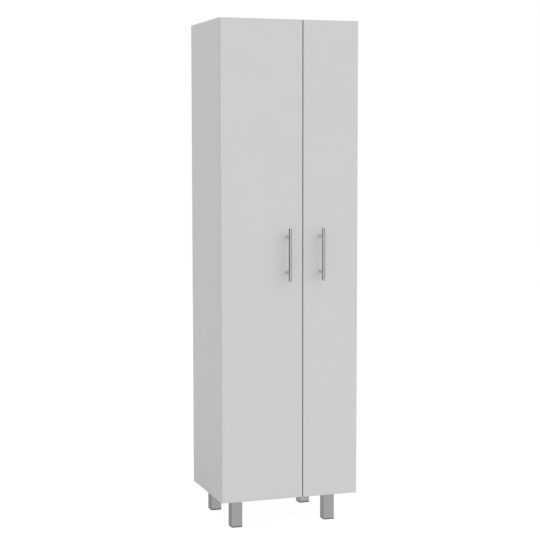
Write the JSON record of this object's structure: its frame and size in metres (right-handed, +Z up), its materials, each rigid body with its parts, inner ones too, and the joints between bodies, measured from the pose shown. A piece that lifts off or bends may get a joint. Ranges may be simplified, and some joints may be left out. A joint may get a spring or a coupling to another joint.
{
  "type": "broom cupboard",
  "caption": "Tall white cupboard on square legs; a wide shelved side and a narrow broom side behind unequal doors with bar handles and concealed hinges.",
  "frame": {"origin": "on the floor under the middle of the whole cupboard, handles included", "axes": "+Z up, -Y towards the doors' front, +X to the right as seen from the front"},
  "size_m": [0.5106, 0.413, 1.8],
  "materials": {
    "carcass_board": "white melamine-faced board, satin",
    "shelf_board": "white melamine-faced board, satin",
    "door_board": "white melamine-faced board, satin",
    "back_board": "thin white-faced hardboard, matt",
    "joining_strip": "extruded white plastic",
    "leg_metal": "grey satin",
    "leg_plate_steel": "zinc-plated",
    "foot_plastic": "dark grey plastic",
    "handle_steel": "brushed along the bar",
    "screw_steel": "zinc-plated",
    "hinge_nickel": "nickel-plated"
  },
  "bodies": {
    "carcass": {"left_side_panel": "carcass_board", "right_side_panel": "carcass_board", "top_panel": "carcass_board", "bottom_panel": "carcass_board", "centre_divider": "carcass_board", "hat_shelf": "shelf_board", "left_shelf_1": "shelf_board", "left_shelf_2": "shelf_board", "left_shelf_3": "shelf_board", "left_shelf_4": "shelf_board", "back_panel_lower": "back_board", "back_panel_upper": "back_board", "back_joining_strip": "joining_strip", "front_left_leg": "leg_metal", "front_left_leg_plate": "leg_plate_steel", "front_left_foot_cap": "foot_plastic", "front_right_leg": "leg_metal", "front_right_leg_plate": "leg_plate_steel", "front_right_foot_cap": "foot_plastic", "back_left_leg": "leg_metal", "back_left_leg_plate": "leg_plate_steel", "back_left_foot_cap": "foot_plastic", "back_right_leg": "leg_metal", "back_right_leg_plate": "leg_plate_steel", "back_right_foot_cap": "foot_plastic", "left_lower_hinge_arm": "hinge_nickel", "left_lower_hinge_plate": "hinge_nickel", "left_middle_hinge_arm": "hinge_nickel", "left_middle_hinge_plate": "hinge_nickel", "left_upper_hinge_arm": "hinge_nickel", "left_upper_hinge_plate": "hinge_nickel", "right_lower_hinge_arm": "hinge_nickel", "right_lower_hinge_plate": "hinge_nickel", "right_middle_hinge_arm": "hinge_nickel", "right_middle_hinge_plate": "hinge_nickel", "right_upper_hinge_arm": "hinge_nickel", "right_upper_hinge_plate": "hinge_nickel"},
    "left_door": {"left_door_board": "door_board", "left_handle_bar": "handle_steel", "left_handle_lower_post": "handle_steel", "left_handle_lower_screw": "screw_steel", "left_handle_upper_post": "handle_steel", "left_handle_upper_screw": "screw_steel", "left_lower_hinge_cup": "hinge_nickel", "left_middle_hinge_cup": "hinge_nickel", "left_upper_hinge_cup": "hinge_nickel"},
    "right_door": {"right_door_board": "door_board", "right_handle_bar": "handle_steel", "right_handle_lower_post": "handle_steel", "right_handle_lower_screw": "screw_steel", "right_handle_upper_post": "handle_steel", "right_handle_upper_screw": "screw_steel", "right_lower_hinge_cup": "hinge_nickel", "right_middle_hinge_cup": "hinge_nickel", "right_upper_hinge_cup": "hinge_nickel"}
  },
  "joints": [
    {"name": "left_door_hinge", "type": "hinge", "parent": "carcass", "child": "left_door", "pos_m": [-0.24781, -0.15935, 0.95], "axis": [0, 0, -1], "range_deg": [0, 100]},
    {"name": "right_door_hinge", "type": "hinge", "parent": "carcass", "child": "right_door", "pos_m": [0.24781, -0.15935, 0.95], "axis": [0, 0, 1], "range_deg": [0, 100]}
  ]
}
